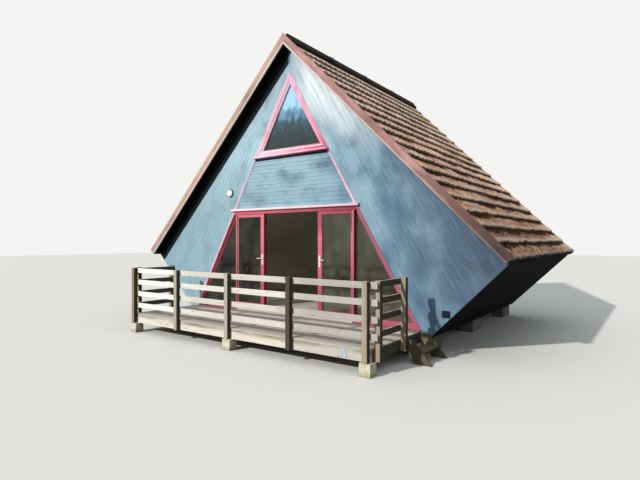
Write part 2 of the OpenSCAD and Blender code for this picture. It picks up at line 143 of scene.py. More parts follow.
def surface(tree, values, height=None, depth=0.0):
    """Closes a finish with its shader's values, raised by a pattern to a depth in metres.

    A smooth surface keeps the shader's own Specular IOR Level of 0.5. Rough fibres and grit keep
    little of that mirror light, so their finishes set it lower.
    """
    if height is not None:
        values["Normal"] = add(tree, "Bump", {"Height": height, "Distance": depth, "Strength": 0.8})
    add(tree, "OutputMaterial", [add(tree, "BsdfPrincipled", values)])


def share(tree, *ranges):
    """How much of a coat shows: the product of plain values and of ranges.

    A range is a value, the two ends between which it changes, and what it gives at them where that
    isn't 0 and 1.
    """
    whole = None
    for part in ranges:
        if isinstance(part, tuple):
            part = add(tree, "MapRange", part)
        whole = part if whole is None else add(tree, "Math", (whole, part), operation="MULTIPLY")
    return whole


def coats(tree, base, *layers):
    """Lays coats over a base colour. Each is its share, as ranges and values, and then its colour."""
    for *ranges, shade in layers:
        base = add(tree, "Mix", (share(tree, *ranges), base, shade), data_type="RGBA")
    return base


def blotches(tree, where, size, detail=3.0, roughness=0.55):
    """Cloudy spots; size is their breadth in metres along each direction."""
    spread = add(tree, "VectorMath", (where, tuple(1 / s for s in size)), operation="MULTIPLY")
    return add(tree, "TexNoise", {
        "Vector": spread, "Scale": 1.0, "Detail": detail, "Roughness": roughness,
    })


def spot(tree, axis=None):
    """A point's own place on the cabin, which moves with its piece, or its part along one axis."""
    here = add(tree, "TexCoord", out="Object")
    return add(tree, "SeparateXYZ", [here], out=axis) if axis else here


def board_part(tree, name, axis):
    """One part of what a board's corners keep: their place on the board, or the values drawn for it."""
    kept = add(tree, "Attribute", out="Vector", attribute_name=name)
    return add(tree, "SeparateXYZ", [kept], out=axis)


def board_lines(tree):
    """Each board's own directions in metres, shifted so that no two boards share their grain."""
    drawn = add(tree, "Attribute", out="Vector", attribute_name="drawn")
    place = add(tree, "Attribute", out="Vector", attribute_name="place")
    return add(tree, "VectorMath", (drawn, (9.0, 9.0, 9.0), place), operation="MULTIPLY_ADD")


def shaded_side(tree):
    """Grows from 0 to 1 on faces that look away from the sun, where finishes paint shade into the colour."""
    looks = add(tree, "NewGeometry", out="Normal")
    away = add(tree, "VectorMath", (looks, (0.93, 0.37, 0.0)), operation="DOT_PRODUCT")
    return share(tree, (away, 0.35, 0.8))


def blue_cladding_paint(name, level):
    # Softwood matchboard in an opaque blue-grey wall paint, brushed on years ago. It is chalky, and whiter
    # along the right verge. Painted shade darkens it to slate blue towards the right eave, in soft patches
    # with painted light, and in streaks along the boards and beside the upper red line. Painted shadow makes
    # it near black in the strip that the left soffit shelters and in the line under the window sill.
    finish, tree = new_finish(name)
    x, y, z = [spot(tree, axis) for axis in "XYZ"]
    out = add(tree, "Math", [x], operation="ABSOLUTE")
    # The chalky streaks and the painted light and shade follow the boards, which run level or along the red
    # lines, and differ on the two wings
    if level:
        run = add(tree, "CombineXYZ", (x, z, y))
    else:
        along = add(tree, "Math", (out, -RED_COS, share(tree, z, RED_SIN)), operation="MULTIPLY_ADD")
        across = add(tree, "Math", (out, RED_SIN, share(tree, z, RED_COS)), operation="MULTIPLY_ADD")
        run = add(tree, "CombineXYZ", (along, across, share(tree, (x, -0.01, 0.01, 0.0, 7.0))))
    # Brush marks of 6 mm would be too fine to show, so they are drawn 14 mm wide.
    grain = blotches(tree, board_lines(tree), (0.50, 0.014, 0.05), 4.0)
    streaks = blotches(tree, run, (1.1, 0.10, 1.0))
    fine = blotches(tree, run, (0.45, 0.035, 1.0))
    painted_dapple = blotches(tree, run, (0.62, 0.40, 1.0), 3.0, 0.5)
    tint = board_part(tree, "drawn", "X")
    front = (y, REAR_FACE - 0.5, REAR_FACE - 1.0, 0.35, 1.0)
    base = coats(
        tree, "#8fb0bc",
        ((z, 2.5, 4.0), "#add0dc"),
        ((z, 4.3, 5.2), "#9dbac7"),
        ((tint, 0.0, 1.0, 0.0, 0.14), "#7a9cad"),
        # Painted shade towards the right eave, and soft patches of painted shade and painted light
        ((x, 0.2, 2.4, 0.0, 0.95), "#698ca5"),
        ((x, 1.9, 4.1, 0.0, 0.95), (z, 0.5, 1.5, 0.45, 1.0), "#2a4057"),
        ((painted_dapple, 0.48, 0.68), (x, -2.6, 1.0, 0.18, 0.80), front, "#3d5a75"),
        ((painted_dapple, 0.48, 0.30), (x, -1.5, 1.2, 0.10, 0.36), (x, 2.6, 3.7, 1.0, 0.25), front, "#a9c9d7"),
        ((fine, 0.52, 0.75), (x, 0.4, 2.4, 0.30, 0.10), "#c4dde6"),
    )
    # Painted shade in streaks along the boards
    painted_shade_streaks = ((streaks, 0.58, 0.76, 0.0, 0.30), "#6a8ca2")
    if level:
        base = coats(tree, base, painted_shade_streaks, (0.14, "#4f7896"))
        # Painted shadow under the window sill
        painted_shadow = share(tree, (z, WINDOW_FOOT - 0.096, WINDOW_FOOT - 0.088, 0.0, 0.85))
    else:
        # Painted shade beside the upper red line, and whiter boards along the right verge
        verge = add(tree, "Math", (out, z), operation="ADD")
        red_line = TRIANGLE_TOP * RED_COS
        right = (x, 0.0, 0.5)
        base = coats(
            tree, base,
            ((across, red_line + 0.06, red_line + 0.16), (across, red_line + 0.42, red_line + 0.24),
             right, (z, 3.3, 4.0), (streaks, 0.62, 0.40, 0.35, 0.85), "#6b93ad"),
            ((verge, APEX_Z - 1.20, APEX_Z - 0.45), (z, 3.7, 4.9), right,
             (streaks, 0.32, 0.54, 0.45, 1.0), "#eef6f9"),
            painted_shade_streaks,
        )
        # Painted shadow of the left overhang on the wall below it
        painted_shadow = share(tree, (verge, APEX_Z - 0.340, APEX_Z - 0.322), (x, 0.05, -0.05))
    surface(tree, {
        "Base Color": coats(tree, base, (painted_shadow, 0.97, "#07090a")), "Roughness": 0.62,
        "Specular IOR Level": share(tree, (painted_shadow, 0.0, 1.0, 0.5, 0.03)),
    }, grain, 0.0008)
    return finish


def joint_shadow():
    # The tongues between the cladding boards: the same blue paint, darker with dirt.
    finish, tree = new_finish("blue_tongues_dirty")
    dirt = blotches(tree, spot(tree), (0.20, 0.20, 0.20))
    base = coats(tree, "#5f7f8f", (dirt, "#7592a1"), ((spot(tree, "X"), 0.0, 0.6), "#7b9cb0"))
    surface(tree, {"Base Color": base, "Roughness": 0.8})
    return finish


def brushed_red(tree, values):
    """Closes a red finish with brush marks along the bars, which are drawn 8 mm wide so that they show."""
    marks = blotches(tree, spot(tree), (0.008, 0.008, 0.35), 2.0)
    surface(tree, values, marks, 0.0004)


def red_joinery_paint(name, fade_low, fade_high, deep, faded, right=None, above=-1.0):
    # Satin alkyd red on planed softwood, brushed. It is deep crimson where it is sheltered and pink
    # where the sun has bleached it, with a soft even gloss.
    finish, tree = new_finish(name)
    x = spot(tree, "X")
    z = spot(tree, "Z")
    wear = blotches(tree, spot(tree), (0.25, 0.25, 0.25), 4.0)
    painted_shade_side = shaded_side(tree)
    base = coats(tree, deep, ((z, fade_low, fade_high), faded))
    # A colour that deepens to the right, above a given height, is painted shade
    if right:
        base = coats(tree, base, ((x, -0.7, 1.4, 0.0, 0.9), (z, above, above + 0.15), right))
    base = coats(
        tree, base,
        ((wear, 0.5, 0.75, 0.0, 0.35), faded),
        ((wear, 0.46, 0.25, 0.0, 0.30), "#8f1830"),
        # Faces that look away from the sun are painted a deep red as painted shade
        (painted_shade_side, 0.85, "#96081d"),
    )
    brushed_red(tree, {
        "Base Color": base, "Roughness": 0.38, "Coat Weight": 0.15,
        "Specular IOR Level": share(tree, (painted_shade_side, 0.0, 1.0, 0.5, 0.15)),
    })
    return finish


def left_jamb_paint():
    # The same alkyd red on the leaning left jamb: deep crimson inside, and bleached to a lilac pink on
    # the outermost strip, which the sun reaches all day.
    finish, tree = new_finish("red_alkyd_left_jamb")
    wear = blotches(tree, spot(tree), (0.20, 0.20, 0.20), 4.0)
    out = add(tree, "Math", [spot(tree, "X")], operation="ABSOLUTE")
    line = add(tree, "Math", (spot(tree, "Z"), 1 / RED_SLOPE, out), operation="MULTIPLY_ADD")
    half = TRIANGLE_TOP / RED_SLOPE
    inner = coats(tree, "#ac2c43", ((wear, 0.40, 0.65), "#c4475c"))
    outer = coats(tree, "#e3bccb", ((wear, 0.40, 0.65), "#d7a3b4"))
    base = coats(tree, inner, ((line, half - 0.066, half - 0.054), outer))
    brushed_red(tree, {"Base Color": base, "Roughness": 0.42, "Coat Weight": 0.1})
    return finish


def window_frame_paint():
    # The same alkyd red, bleached to a pale pink on the left and at the top of the gable window. It
    # keeps more of its red on the right and in patches along the foot.
    finish, tree = new_finish("red_alkyd_sun_faded")
    x = spot(tree, "X")
    z = spot(tree, "Z")
    wear = blotches(tree, spot(tree), (0.22, 0.22, 0.30), 4.0)
    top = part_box("window_sill")[1].z
    base = coats(
        tree, "#edc0d3",
        ((x, -0.75, 0.70), "#e58fae"),
        ((z, 4.6, 5.4), "#ecb6cd"),
        ((z, WINDOW_FOOT + 0.42, WINDOW_FOOT + 0.05), (x, -0.2, 0.85), 0.90, "#c23f62"),
        ((wear, 0.54, 0.72, 0.0, 0.55), "#cf5f80"),
        ((wear, 0.44, 0.30, 0.0, 0.60), "#f6dbe5"),
        # Painted highlight along the sill's nose, and a painted shade line where it meets the frame
        ((z, top - 0.020, top - 0.014), (z, top + 0.001, top - 0.003), 0.7, "#fbe6ee"),
        ((z, top + 0.001, top + 0.004), (z, top + 0.022, top + 0.016), 0.7, "#a93457"),
    )
    brushed_red(tree, {"Base Color": base, "Roughness": 0.42, "Coat Weight": 0.1})
    return finish


def barge_stain():
    # Sawn softwood in a brown wood stain that has gone pinkish and thin in the weather. Painted shade makes
    # it darker on the right and darkest near the right eave. Grain shows as darker streaks along the board,
    # and a thin line along its lower edge is paler.
    finish, tree = new_finish("barge_brown_stain")
    own = board_lines(tree)
    x = spot(tree, "X")
    z = spot(tree, "Z")
    across = board_part(tree, "place", "Y")
    grain = blotches(tree, own, (0.45, 0.012, 0.012), 4.0, 0.6)
    patches = blotches(tree, own, (0.6, 0.16, 0.16))
    # Painted shade: the right board is darker, and darkest low down near the eave
    high = coats(tree, "#c6a594", ((x, -0.3, 0.3), "#a87f78"))
    low = coats(tree, "#2b1c18", ((z, 1.75, 2.45), "#563a33"), ((x, 0.3, -0.3, 0.0, 0.85), "#cfae9d"))
    pale_line = add(tree, "Math", (
        share(tree, (z, 2.6, 5.2, 0.15, 0.9)), share(tree, (x, 0.3, -0.3, 0.0, 0.75)),
    ), operation="MAXIMUM")
    base = coats(
        tree, low,
        ((z, 2.3, 3.8), high),
        ((grain, 0.50, 0.72, 0.0, 0.55), "#6d4c43"),
        ((patches, 0.50, 0.70, 0.0, 0.65), "#75524a"),
        ((patches, 0.47, 0.30, 0.0, 0.6), (z, 2.2, 3.4), "#d5a9a0"),
        ((across, 0.034, 0.026), pale_line, "#e9dcd2"),
    )
    surface(tree, {"Base Color": base, "Roughness": 0.72}, grain, 0.0015)
    return finish


def brown_roof_tile():
    # Interlocking concrete tile, extruded and coated brown. The sanded surface is matt and bleached to a
    # pinkish buff on its tops. Painted light makes the lower part of each course paler, painted shadow lies
    # black under each lap, and dry litter has settled on the lower courses.
    finish, tree = new_finish("brown_concrete_tile")
    here = spot(tree)
    y = spot(tree, "Y")
    z = spot(tree, "Z")
    across = board_part(tree, "place", "Y")
    sand = blotches(tree, here, (0.035, 0.035, 0.035), 4.0, 0.7)
    patches = blotches(tree, here, (0.5, 0.6, 0.5), 4.0)
    ragged = blotches(tree, here, (0.07, 0.10, 0.07), 4.0, 0.65)
    low = (z, 3.6, 2.2)
    # The painted shadow under a lap ends in a ragged line. It covers more of some tiles than of others, in
    # stretches of about a metre.
    lap_shadow = add(tree, "Math", (share(tree, (ragged, 0.3, 0.7, -0.05, 0.05)), across), operation="ADD")
    drift = share(tree, (blotches(tree, here, (0.50, 0.95, 0.50)), 0.36, 0.64, -0.075, 0.060))
    lap_shadow = add(tree, "Math", (lap_shadow, drift), operation="ADD")
    base = coats(
        tree, "#c4967a",
        (board_part(tree, "drawn", "X"), "#e6bda0"),
        ((patches, 0.48, 0.66, 0.0, 0.75), "#8a5f49"),
        ((patches, 0.42, 0.28, 0.0, 0.70), "#f6dcc6"),
        (low, (ragged, 0.40, 0.60, 0.35, 0.95), "#684330"),
        ((y, 2.0, 3.8, 0.0, 0.60), "#f4d3b4"),
        ((z, 4.2, 5.8, 0.0, 0.50), "#edd6ca"),
        # Painted light on the lower part of each course, and painted shadow under the lap above
        ((across, 0.12, 0.0), 0.55, "#f0dccb"),
        ((lap_shadow, 0.20, 0.26), 0.98, "#120906"),
        ((sand, 0.54, 0.64), (z, 5.0, 2.4, 0.25, 0.75), "#4a3227"),
        ((sand, 0.42, 0.34), low, 0.6, "#d9b592"),
        ((z, 3.6, 5.6), (y, 0.4, 3.8), (patches, 0.36, 0.56), 0.60, "#a89a62"),
        ((z, EAVE_Z + 0.22, EAVE_Z + 0.06), (ragged, 0.35, 0.6, 0.3, 1.0), "#35341f"),
    )
    surface(tree, {"Base Color": base, "Roughness": 0.88, "Specular IOR Level": 0.03}, sand, 0.004)
    return finish


def ridge_coating():
    # Folded sheet steel with a black-brown coil coating, chalked dull after years outside.
    finish, tree = new_finish("ridge_dark_coating")
    dust = blotches(tree, spot(tree), (0.05, 0.6, 0.05), 4.0)
    base = coats(tree, "#140c09", ((dust, 0.4, 0.7), "#2a1c15"))
    surface(tree, {"Base Color": base, "Roughness": 0.8, "Specular IOR Level": 0.12}, dust, 0.001)
    return finish


def black_board_stain():
    # Sawn boards in a black-brown stain that keeps nearly all light, made darker still as painted shade,
    # with a dry, fibrous surface.
    finish, tree = new_finish("black_brown_stain")
    grain = blotches(tree, board_lines(tree), (0.50, 0.010, 0.010), 4.0, 0.65)
    tint = board_part(tree, "drawn", "X")
    base = coats(tree, "#060505", (tint, "#0c0a09"), ((grain, 0.50, 0.75, 0.0, 0.5), "#171310"))
    surface(tree, {"Base Color": base, "Roughness": 0.95, "Specular IOR Level": 0.06}, grain, 0.0012)
    return finish


def black_panel_stain():
    # Soffit and wall sheets in the same black-brown stain, made darker still as painted shade, seen between
    # and under the boards.
    finish, tree = new_finish("black_sheet_stain")
    grain = blotches(tree, spot(tree), (0.4, 0.03, 0.03))
    base = coats(tree, "#060505", (grain, "#0f0d0c"))
    surface(tree, {"Base Color": base, "Roughness": 0.95, "Specular IOR Level": 0.06}, grain, 0.001)
    return finish


def weathered_softwood(name, light, mid, dark, side_shade, use=""):
    # Bare pressure-treated pine, sawn and left outdoors. It has bleached to cream and silver grey, with
    # darker grain, a few knots and green algae. Faces that look away from the sun are painted near black as
    # painted shade.
    finish, tree = new_finish(name)
    own = board_lines(tree)
    x = spot(tree, "X")
    grain = blotches(tree, own, (0.45, 0.011, 0.011), 4.0, 0.6)
    patches = blotches(tree, own, (0.55, 0.09, 0.09))
    # Knots of about 20 mm, two or three to a metre of board
    cells = add(tree, "VectorMath", (own, (3.2, 9.0, 9.0)), operation="MULTIPLY")
    knot = add(tree, "TexVoronoi", {"Vector": cells, "Scale": 1.0})
    algae = blotches(tree, own, (0.30, 0.10, 0.10))
    lit = share(tree, (shaded_side(tree), 1.0, 0.0))
    base = coats(
        tree, light,
        (board_part(tree, "drawn", "X"), mid),
        ((grain, 0.50, 0.72, 0.0, 0.75), dark),
        ((patches, 0.52, 0.72, 0.0, 0.55), mid),
        ((knot, 0.13, 0.07), 0.8, "#6b5138"),
        ((algae, 0.60, 0.78, 0.0, 0.40), "#8d8f6a"),
    )
    painted_side_shade = ((lit, 1.0, 0.0, 0.0, 0.92), side_shade)
    if use == "post":
        # The outer posts keep a golden brown in streaks down the grain, and the fourth is painted dark as
        # painted shade
        streak = (patches, 0.35, 0.60, 0.10, 0.60)
        base = coats(
            tree, base,
            (streak, (x, 2.70, 2.78), "#9c8561"),
            (streak, (x, -2.60, -2.68), "#7d6747"),
            painted_side_shade,
            ((x, 1.25, 1.30), (x, 1.66, 1.61), 0.90, "#3c3832"),
        )
    elif use == "rail":
        # Painted light makes the left rails whiter where they face the sun, and painted shade makes the
        # right ones greyer
        base = coats(
            tree, base,
            ((x, -0.9, -2.1, 0.0, 0.9), lit, "#fbfaf8"),
            ((x, 1.2, 1.8, 0.0, 0.55), "#96928a"),
            painted_side_shade,
        )
    elif use == "fascia":
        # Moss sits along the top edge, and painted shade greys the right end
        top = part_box("deck_fascia")[1].z
        base = coats(
            tree, base,
            ((spot(tree, "Z"), top - 0.075, top - 0.015), (patches, 0.38, 0.60, 0.2, 0.8), "#67643a"),
            ((x, 1.2, 1.8, 0.0, 0.5), "#a9a8a1"),
            painted_side_shade,
        )
    else:
        base = coats(tree, base, painted_side_shade)
    surface(tree, {"Base Color": base, "Roughness": 0.8, "Specular IOR Level": 0.2}, grain, 0.0016)
    return finish


def pale_threshold_timber():
    # A hardwood sill that is rubbed and bleached nearly white by the sun.
    finish, tree = new_finish("threshold_bleached_timber")
    grain = blotches(tree, spot(tree), (0.5, 0.012, 0.012), 4.0)
    base = coats(tree, "#d8d4ca", ((grain, 0.35, 0.7), "#b5afa2"))
    surface(tree, {"Base Color": base, "Roughness": 0.7}, grain, 0.001)
    return finish


def lichened_render():
    # Cement render on the deck's piers, floated rough, yellowed by lichen and green at its foot.
    finish, tree = new_finish("pier_cement_render")
    grit = blotches(tree, spot(tree), (0.012, 0.012, 0.012), 4.0, 0.7)
    lichen = blotches(tree, spot(tree), (0.07, 0.07, 0.07), 4.0)
    base = coats(
        tree, "#dcd8c8",
        ((lichen, 0.40, 0.65), "#c6c09c"),
        ((spot(tree, "Z"), 0.09, 0.0, 0.0, 0.7), "#7f8158"),
    )
    surface(tree, {"Base Color": base, "Roughness": 0.92}, grit, 0.003)
    return finish


def concrete_blockwork():
    # Dense aggregate blocks, 215 mm high with 10 mm joints, left bare under the cabin.
    finish, tree = new_finish("foundation_blockwork")
    grit = blotches(tree, spot(tree), (0.010, 0.010, 0.010), 4.0, 0.75)
    blocks = add(tree, "TexBrick", {
        "Vector": add(tree, "CombineXYZ", (spot(tree, "Y"), spot(tree, "Z"))),
        "Color1": "#8f8c86", "Color2": "#7b7872", "Mortar": "#5f5c57", "Scale": 1.0,
        "Mortar Size": 0.010, "Brick Width": 0.45, "Row Height": 0.225,
    }, offset=0.5)
    base = coats(tree, blocks, ((grit, 0.45, 0.75, 0.0, 0.6), "#6a6862"))
    surface(tree, {"Base Color": base, "Roughness": 0.95, "Specular IOR Level": 0.15}, grit, 0.003)
    return finish


def cream_lining():
    # Matchboard inside, painted a flat warm white. In the dim room it reads as grey beige.
    finish, tree = new_finish("lining_cream_paint")
    grain = blotches(tree, board_lines(tree), (0.5, 0.02, 0.02))
    tint = board_part(tree, "drawn", "X")
    base = coats(tree, "#f7f2e6", (tint, "#fbf8f0"), ((grain, 0.5, 0.75, 0.0, 0.3), "#e4dbc6"))
    surface(tree, {"Base Color": base, "Roughness": 0.7}, grain, 0.0006)
    return finish


def pale_floor_board():
    # Pale grey-washed laminate boards indoors, with fine grain and a low sheen.
    finish, tree = new_finish("floor_pale_board")
    grain = blotches(tree, spot(tree), (0.010, 0.5, 0.010), 4.0)
    rows = add(tree, "TexBrick", {
        "Vector": add(tree, "CombineXYZ", (spot(tree, "Y"), spot(tree, "X"))),
        "Color1": "#d9d6cd", "Color2": "#c9c5ba", "Mortar": "#8f8b80", "Scale": 1.0,
        "Mortar Size": 0.003, "Brick Width": 1.2, "Row Height": 0.19,
    }, offset=0.37)
    base = coats(tree, rows, ((grain, 0.45, 0.75, 0.0, 0.4), "#b0aa9c"))
    surface(tree, {"Base Color": base, "Roughness": 0.45}, grain, 0.0004)
    return finish


def clear_pane():
    # Clear float glass in a sealed unit: it lets light into the room, darkens it a little with its
    # grey body colour, carries a thin film of dust that the sun lights, and mirrors the surroundings
    # more at low angles. The mirror light is grey, because the deck and the dust dull it.
    finish, tree = new_finish("door_clear_pane")
    dust = blotches(tree, spot(tree), (0.30, 0.30, 0.45), 4.0)
    body = add(tree, "BsdfTransparent", {"Color": "#e0e1d9"})
    film = add(tree, "BsdfDiffuse", {"Color": "#bcb7a7"})
    dusty = add(tree, "MixShader", (share(tree, (dust, 0.35, 0.70, 0.025, 0.10)), body, film))
    mirror = add(tree, "BsdfAnisotropic", {"Color": "#a6acaa", "Roughness": 0.03})
    edge = add(tree, "Fresnel", {"IOR": 1.52})
    add(tree, "OutputMaterial", [add(tree, "MixShader", (edge, dusty, mirror))])
    return finish


def window_pane():
    # The gable's sealed unit. It stands high over a dark loft, and its colour is a painted reflection: pale
    # blue at the top, through broken slate blue to grey green at the foot.
    finish, tree = new_finish("window_blue_pane")
    streaks = blotches(tree, spot(tree), (0.10, 1.0, 0.20), 4.0)
    waver = share(tree, (streaks, 0.3, 0.7, -0.17, 0.17))
    height = add(tree, "Math", (waver, spot(tree, "Z")), operation="ADD")
    film = add(tree, "ValToRGB", [share(tree, (height, WINDOW_FOOT + 0.13, TRIANGLE_TOP - 0.30))])
    reflected_shades = film.node.color_ramp.elements
    reflected_shades[0].color = paint("#343f40")
    reflected_shades[1].position = 0.72
    reflected_shades[1].color = paint("#a9dcf3")
    for place, shade in ((0.24, "#3b4949"), (0.40, "#48606f"), (0.56, "#6f9bbd")):
        reflected_shades.new(place).color = paint(shade)
    surface(tree, {"Base Color": film, "Roughness": 0.08, "IOR": 1.52, "Specular IOR Level": 0.2})
    return finish


def white_powder_coat():
    # Aluminium handles with a glossy white powder coat.
    finish, tree = new_finish("handle_white_coat")
    base = coats(tree, "#f2f1ee", (blotches(tree, spot(tree), (0.006, 0.006, 0.006), 2.0), "#e2e0dc"))
    surface(tree, {"Base Color": base, "Roughness": 0.28, "Coat Weight": 0.3})
    return finish


def opal_plastic():
    # A moulded opal acrylic shade, glossy and milky, greyed a little by dust. Its back part against the wall
    # is painted near black and less glossy, as painted shade.
    finish, tree = new_finish("lamp_opal_acrylic")
    dust = blotches(tree, spot(tree), (0.05, 0.05, 0.05))
    low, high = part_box("wall_lamp")
    depth = high.y - low.y
    ring = share(tree, (spot(tree, "Y"), high.y - 0.60 * depth, high.y - 0.56 * depth))
    surface(tree, {
        "Base Color": coats(tree, "#ffffff", (dust, "#f2f2ee"), (ring, "#0e0f10")),
        "Roughness": 0.25, "IOR": 1.49, "Specular IOR Level": share(tree, (ring, 0.0, 1.0, 0.5, 0.05)),
    })
    return finish


def grey_white_plate():
    # Rigid grey-white plastic sheet, dulled and streaked by rain from the deck.
    finish, tree = new_finish("plate_grey_white")
    streak = blotches(tree, spot(tree), (0.02, 0.02, 0.15))
    surface(tree, {"Base Color": coats(tree, "#c3ccd6", ((streak, 0.4, 0.7), "#8f969a")), "Roughness": 0.5})
    return finish


def dark_vent_plastic():
    # Injection moulded ABS in dark blue, chalky at its edges.
    finish, tree = new_finish("vent_dark_abs")
    base = coats(tree, "#061722", (blotches(tree, spot(tree), (0.03, 0.03, 0.03)), "#0c2636"))
    surface(tree, {"Base Color": base, "Roughness": 0.7, "IOR": 1.53, "Specular IOR Level": 0.10})
    return finish


def zinc_screw():
    # Zinc plated screw heads, dulled to mid grey, with rust in spots.
    finish, tree = new_finish("screw_dull_zinc")
    rust = blotches(tree, spot(tree), (0.02, 0.02, 0.02))
    base = coats(tree, "#8d8d8a", ((rust, 0.5, 0.7), "#7a5a44"))
    surface(tree, {"Base Color": base, "Roughness": 0.45, "Metallic": 1.0})
    return finish


finishes = {
    "blue": blue_cladding_paint("blue_wing_paint", False),
    "level_blue": blue_cladding_paint("blue_level_paint", True),
    "tongues": joint_shadow(),
    "head_red": red_joinery_paint("red_alkyd_head", 2.4, 2.7, "#b8485c", "#cf6071", "#7f1f32"),
    "jamb_left_red": left_jamb_paint(),
    "jamb_right_red": red_joinery_paint("red_alkyd_right_jamb", 0.5, 2.7, "#a9556b", "#98546b"),
    "frame_red": red_joinery_paint("red_alkyd_fixed_frames", 0.6, 2.3, "#80555b", "#b37a83"),
    "post_red": red_joinery_paint("red_alkyd_posts", 0.8, 2.4, "#8f5660", "#b87480"),
    "leaf_red": red_joinery_paint("red_alkyd_leaves", 0.7, 1.9, "#a64357", "#d66e7e", "#94293f", 2.1),
    "faded_red": window_frame_paint(),
    # The splayed beads catch light, and their pale pink adds painted highlight
    "bead_red": red_joinery_paint("red_alkyd_beads_highlight", 3.9, 4.2, "#f4dde4", "#efd0dc"),
    "ledge_red": red_joinery_paint("red_alkyd_ledge", 2.6, 2.8, "#f6e3ea", "#f3dbe6", "#e0bccd"),
    "pale_red": red_joinery_paint("red_alkyd_bleached", 2.6, 3.9, "#ecc3d0", "#c9aecb"),
    "barge": barge_stain(),
    "tile": brown_roof_tile(),
    "ridge": ridge_coating(),
    "black": black_board_stain(),
    "black_sheet": black_panel_stain(),
    "rail": weathered_softwood("rail_bleached_pine", "#eae6df", "#d8d4cb", "#b0a99c", "#2a2219", "rail"),
    "post": weathered_softwood("post_grey_pine", "#bdb7aa", "#a59e90", "#7b7264", "#261e15", "post"),
    "plank": weathered_softwood("deck_grey_pine", "#c6c0b7", "#b3aca1", "#8f877b", "#3d352d"),
    # The steps' darker timber is painted shade
    "step": weathered_softwood("step_pine_painted_shade", "#766c5a", "#655c4e", "#463c30", "#221b14"),
    "fascia": weathered_softwood(
        "fascia_cream_pine", "#e9e4d5", "#d9d1bc", "#a09478", "#2a2219", "fascia",
    ),
    "threshold": pale_threshold_timber(),
    "pier": lichened_render(),
    "block": concrete_blockwork(),
    "lining": cream_lining(),
    "floor": pale_floor_board(),
    "pane": clear_pane(),
    "window_pane": window_pane(),
    "handle": white_powder_coat(),
    "lamp": opal_plastic(),
    "plate": grey_white_plate(),
    "vent": dark_vent_plastic(),
    "screw": zinc_screw(),
}


def linked(name, data):
    """Puts data in the scene as an object."""
    made = bpy.data.objects.new(name, data)
    bpy.context.scene.collection.objects.link(made)
    return made


def board_mesh(name, points, faces, place, drawn):
    """A mesh whose corners keep their place on a board and the values drawn for it."""
    mesh = bpy.data.meshes.new(name)
    mesh.from_pydata([tuple(point) for point in points], [], faces)
    for key, values in (("place", place), ("drawn", drawn)):
        layer = mesh.attributes.new(key, "FLOAT_VECTOR", "POINT")
        layer.data.foreach_set("vector", [part for value in values for part in value])
    return mesh


def settled(mesh, name, finish, body="cabin", nodes=()):
    """Puts a finished mesh in the scene as a piece of the cabin."""
    piece = linked(name, mesh)
    mesh.materials.append(finishes[finish])
    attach(piece, body)
    if nodes:
        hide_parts(*nodes)


class Boards:
    """Gathers solid boards into one piece, and keeps each board's own directions and drawn values."""

    def __init__(self, seed):
        self.points, self.faces, self.place, self.drawn = [], [], [], []
        self.draw = random.Random(seed)

    def solid(self, points, faces, along, across):
        """Adds one board. Its place is measured from its own low corner along the two directions."""
        ways = (along, across, along.cross(across))
        low = [min(p.dot(way) for p in points) for way in ways]
        start = len(self.points)
        drawn = tuple(self.draw.random() for _ in range(3))
        for point in points:
            self.points.append(point)
            self.place.append(tuple(point.dot(way) - edge for way, edge in zip(ways, low)))
            self.drawn.append(drawn)
        self.faces.extend([start + i for i in face] for face in faces)

    def piece(self, name, finish, slot, body="cabin", nodes=()):
        """Makes the gathered boards one piece that rides on a body."""
        mesh = board_mesh(name, self.points, self.faces, self.place, self.drawn)
        mesh.validate()
        settled(mesh, name, finish, body, nodes)


def clip(outline, way, limit):
    """Keeps the part of a convex outline that lies up to a limit along a direction."""
    nearest = 0.0015
    kept = []
    for first, second in zip(outline, outline[1:] + outline[:1]):
        a = first.dot(way) - limit
        b = second.dot(way) - limit
        if a <= 0:
            kept.append(first)
        if a * b < 0:
            kept.append(first.lerp(second, a / (a - b)))
    apart = [p for i, p in enumerate(kept) if (p - kept[i - 1]).length > nearest]
    return apart if len(apart) > 2 else []


def area(outline):
    """Signed area of an outline, above 0 where it runs anticlockwise."""
    pairs = zip(outline, outline[1:] + outline[:1])
    return sum(a.x * b.y - b.x * a.y for a, b in pairs) / 2


def inset(outline, ease):
    """Moves a convex outline's edges inwards, or gives it back where it is too small for that."""
    sharpest = 0.15
    least = 0.3
    moved = []
    for i, point in enumerate(outline):
        before = (point - outline[i - 1]).normalized()
        after = (outline[(i + 1) % len(outline)] - point).normalized()
        first = Vector((-before.y, before.x))
        second = Vector((-after.y, after.x))
        moved.append(point + (first + second) * (ease / max(1 + first.dot(second), sharpest)))
    whole = area(outline)
    return moved if least * whole < area(moved) < whole else outline


def rectangle(left, low, right, high):
    """A level outline between two corners."""
    return [Vector((left, low)), Vector((right, low)), Vector((right, high)), Vector((left, high))]


def upright(y, way=1):
    """A plane that stands at a depth and faces the front, or the rear where way is -1."""
    return Vector((0, y, 0)), Vector((way, 0, 0)), Vector((0, 0, 1))


def lengthwise(side, foot, ends, up, inside=False):
    """A plane that leans along the cabin's length and faces out on one side, or into the room."""
    forwards = (side > 0) != inside
    origin = Vector((side * foot.x, ends[0] if forwards else ends[1], foot.y))
    return origin, Vector((0, 1 if forwards else -1, 0)), Vector((side * up.x, 0, up.y))


def board_solid(boards, plane, outline, along, thick, ease):
    """One board with eased front edges: an outline on a plane (origin, right, up), grown outwards."""
    origin, right, up = plane
    out = right.cross(up)
    if area(outline) < 0:
        outline = outline[::-1]
    rings = [(inset(outline, ease), thick), (outline, thick - ease), (outline, 0.0)]
    points = [origin + right * p.x + up * p.y + out * lift for ring, lift in rings for p in ring]
    count = len(outline)
    faces = [list(range(count)), list(range(3 * count - 1, 2 * count - 1, -1))]
    for ring in (0, count):
        for i in range(count):
            j = (i + 1) % count
            faces.append([ring + j, ring + i, ring + count + i, ring + count + j])
    run = (right * along.x + up * along.y).normalized()
    boards.solid(points, faces, run, out.cross(run))


